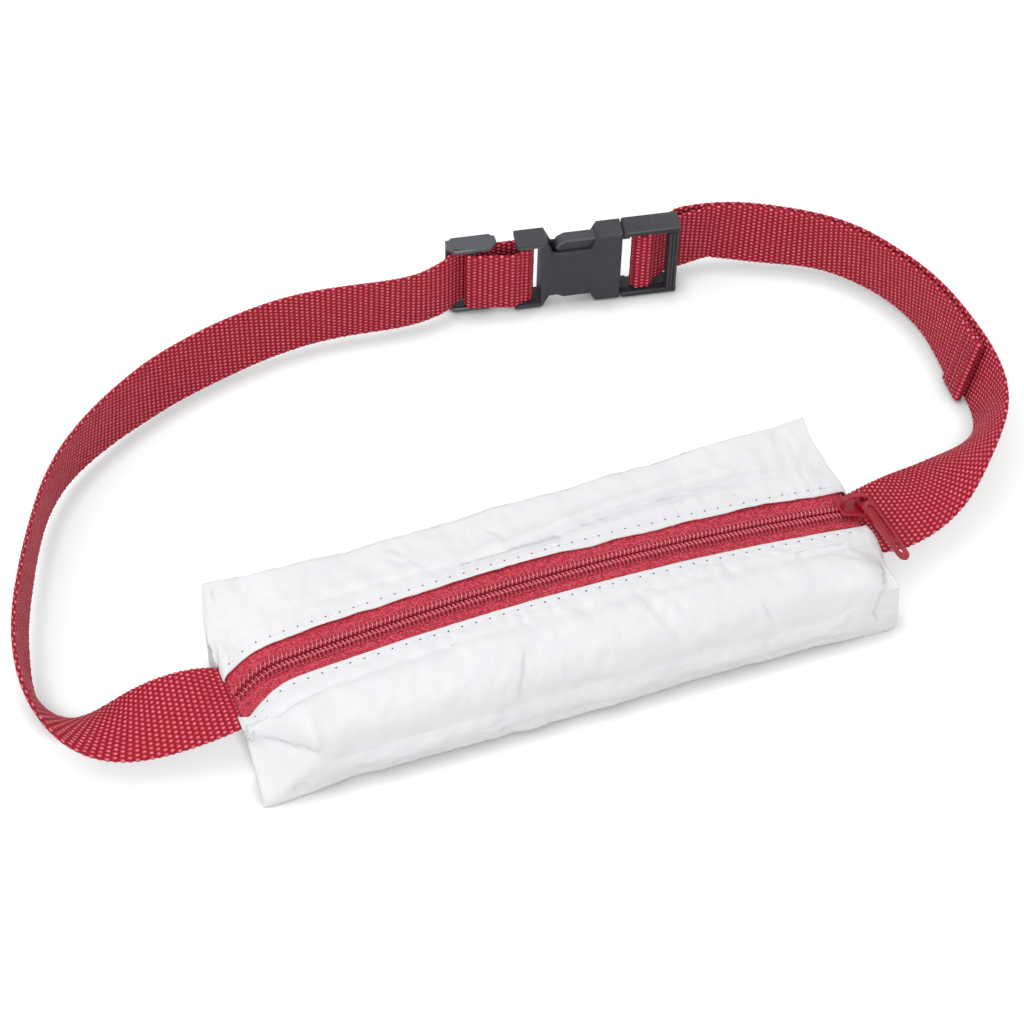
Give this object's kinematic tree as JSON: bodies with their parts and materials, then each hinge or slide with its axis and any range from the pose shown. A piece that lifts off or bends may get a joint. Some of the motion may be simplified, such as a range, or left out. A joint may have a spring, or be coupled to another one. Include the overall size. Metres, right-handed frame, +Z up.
{
  "type": "throw rope bag",
  "caption": "Slim zipped fabric pouch for a throw line, carried on a webbing waist belt with a side-release buckle and a tri-glide adjuster.",
  "frame": {"origin": "centre of the pouch's flat base panel, on the surface it rests on", "axes": "+X along the pouch towards the closed end of the zip, +Y across it towards the buckle, +Z up out of the zip"},
  "size_m": [0.329, 0.1908, 0.0324],
  "materials": {
    "shell_fabric": "matte",
    "zip_tape": "matte",
    "zip_coil": "satin",
    "thread_white": "matte",
    "thread_red": "matte",
    "slider_metal": "gloss",
    "webbing": "matte",
    "buckle_plastic": "matte",
    "glide_plastic": "gloss",
    "rope_fibre": "matte"
  },
  "bodies": {
    "pouch": {"bag_shell": "shell_fabric", "zip_tape_back": "zip_tape", "zip_tape_front": "zip_tape", "zip_coil_back": "zip_coil", "zip_coil_front": "zip_coil", "zip_topstitch_back": "thread_white", "zip_topstitch_front": "thread_white", "belt_left": "webbing", "buckle_female": "buckle_plastic", "throw_rope": "rope_fibre", "end_seam_thread_left": "thread_white", "end_seam_thread_right": "thread_white"},
    "zip_slider": {"zip_slider_body": "slider_metal", "zip_slider_bail": "slider_metal"},
    "zip_pull": {"zip_pull_tab": "slider_metal"},
    "belt_right_half": {"belt_right": "webbing", "belt_hem_stitching": "thread_red", "buckle_male_frame": "buckle_plastic"},
    "prong_upper": {"buckle_prong_upper": "buckle_plastic"},
    "prong_lower": {"buckle_prong_lower": "buckle_plastic"},
    "adjuster": {"tri_glide": "glide_plastic"}
  },
  "joints": [
    {"name": "zip_travel", "type": "hinge", "parent": "pouch", "child": "zip_slider", "pos_m": [0, 0, -0.618], "axis": [0, -1, 0], "range_deg": [0, 16.2]},
    {"name": "pull_swivel", "type": "hinge", "parent": "zip_slider", "child": "zip_pull", "pos_m": [0.10139, 0, 0.02699], "axis": [0.1492, 0, 0.9888], "range_deg": [0, 100]},
    {"name": "buckle_release", "type": "slide", "parent": "pouch", "child": "belt_right_half", "axis": [0.9842, -0.1772, 0], "range_m": [0, 0.026]},
    {"name": "prong_squeeze_upper", "type": "hinge", "parent": "belt_right_half", "child": "prong_upper", "pos_m": [0.07414, 0.14296, 0.02847], "axis": [-0.1762, -0.9788, -0.1045], "range_deg": [0, 9], "stiffness_Nm_per_rad": 0.02},
    {"name": "prong_squeeze_lower", "type": "hinge", "parent": "belt_right_half", "child": "prong_lower", "pos_m": [0.0746, 0.1455, 0.0039], "axis": [0.1762, 0.9788, 0.1045], "range_deg": [0, 9], "stiffness_Nm_per_rad": 0.02},
    {"name": "strap_adjust", "type": "slide", "parent": "pouch", "child": "adjuster", "axis": [0.9842, -0.1772, 0], "range_m": [0, 0.0052]}
  ]
}
